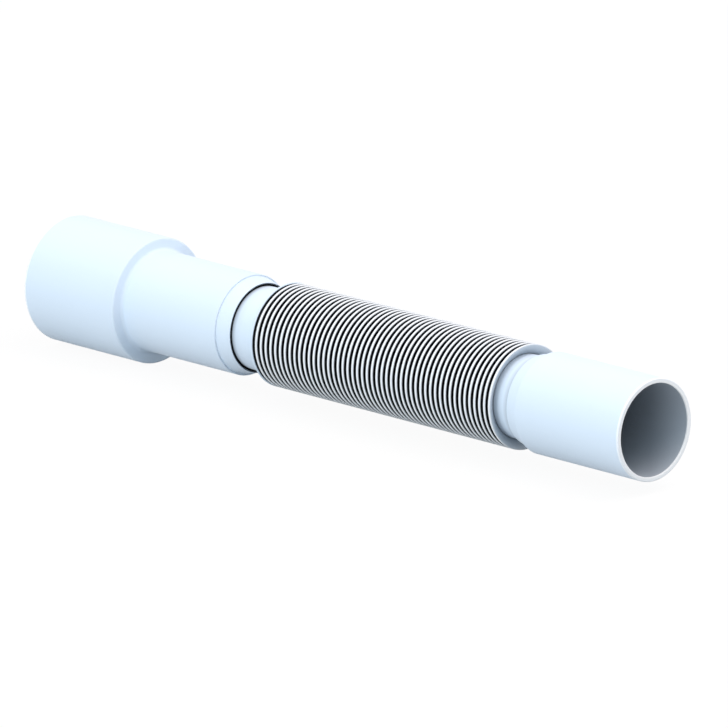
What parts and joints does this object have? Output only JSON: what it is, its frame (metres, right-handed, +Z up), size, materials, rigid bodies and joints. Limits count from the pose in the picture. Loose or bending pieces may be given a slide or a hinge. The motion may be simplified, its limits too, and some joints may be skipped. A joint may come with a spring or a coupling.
{
  "type": "flexible drain pipe",
  "caption": "Ribbed flexible waste pipe that stretches, with a stepped spigot for a drain socket on one end and a plain spigot on the other.",
  "frame": {"origin": "centre of the drain spigot's mouth, on the pipe's axis", "axes": "+X along the pipe towards the plain spigot, +Z up as the pipe lies"},
  "size_m": [0.3179, 0.05, 0.05],
  "materials": {
    "spigot_plastic": "smooth moulded gloss, cool white",
    "bellows_plastic": "smooth blown gloss, cool white"
  },
  "bodies": {
    "stepped_end": {"stepped_spigot": "spigot_plastic", "bellows": "bellows_plastic"},
    "plain_end": {"plain_spigot": "spigot_plastic"}
  },
  "joints": [
    {"name": "stretch", "type": "slide", "parent": "stepped_end", "child": "plain_end", "axis": [1, 0, 0], "range_m": [0, 0.16], "deforming": ["bellows"]}
  ]
}
